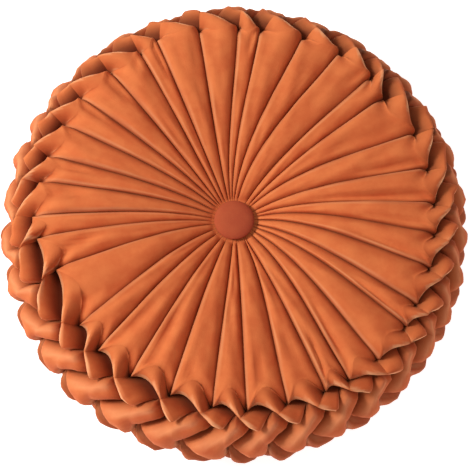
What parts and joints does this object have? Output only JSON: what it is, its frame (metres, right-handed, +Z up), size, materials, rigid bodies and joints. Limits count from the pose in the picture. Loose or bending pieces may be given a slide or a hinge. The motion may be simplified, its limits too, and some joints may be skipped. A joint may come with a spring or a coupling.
{
  "type": "pumpkin cushion",
  "caption": "Round velvet floor or seat cushion with radial knife pleats, a covered button in each gathered centre and a smocked, braided rim.",
  "frame": {"origin": "bottom centre of the cushion, on the surface that it lies on", "axes": "+Z up through the cushion's thickness, from its back to its face; +Y toward the top of the pictured face, +X to its right"},
  "size_m": [0.3796, 0.38, 0.1063],
  "materials": {
    "velvet_cover": "velvet, matt with bright fold edges",
    "button_velvet": "velvet, matt"
  },
  "bodies": {
    "root": {"cushion_body": "velvet_cover", "front_button": "button_velvet", "back_button": "button_velvet"}
  },
  "joints": []
}
